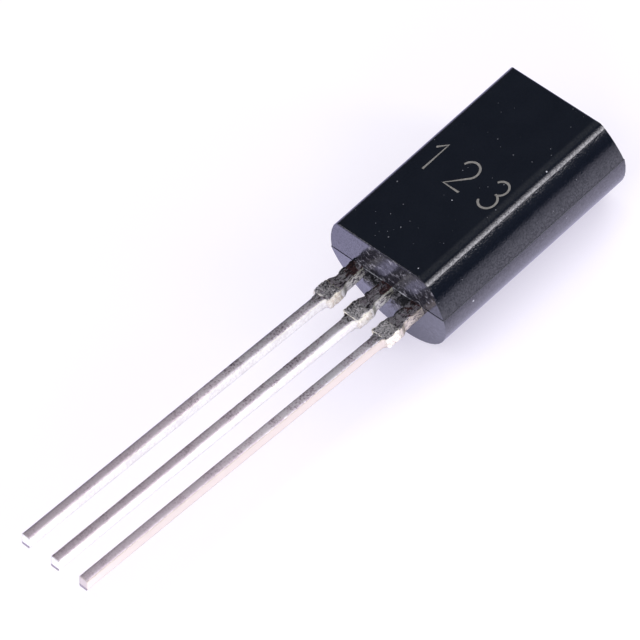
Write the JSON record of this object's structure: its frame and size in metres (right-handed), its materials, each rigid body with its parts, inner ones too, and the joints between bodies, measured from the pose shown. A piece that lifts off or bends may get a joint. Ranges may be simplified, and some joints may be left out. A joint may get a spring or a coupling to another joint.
{
  "type": "to-92 transistor",
  "caption": "Long TO-92 transistor: a black D-section epoxy moulding with a flat face and a round back, and tin-plated leads in line out of one end.",
  "frame": {"origin": "middle of the centre lead's section, where it leaves the moulding's lead end at the parting line", "axes": "+Z out of the flat face, +Y along the moulding away from the leads, X across the leads, with the emitter lead on -X"},
  "size_m": [0.005, 0.0218, 0.0038],
  "materials": {
    "body": "satin black epoxy moulding",
    "emitter_lead": "tin-plated copper, grainy",
    "collector_lead": "tin-plated copper, grainy",
    "base_lead": "tin-plated copper, grainy",
    "die": "polished silicon",
    "die_attach": "solder",
    "emitter_wire": "gold wire",
    "base_wire": "gold wire"
  },
  "bodies": {
    "root": {"body": "body", "emitter_lead": "emitter_lead", "collector_lead": "collector_lead", "base_lead": "base_lead", "die": "die", "die_attach": "die_attach", "emitter_wire": "emitter_wire", "base_wire": "base_wire"}
  },
  "joints": []
}
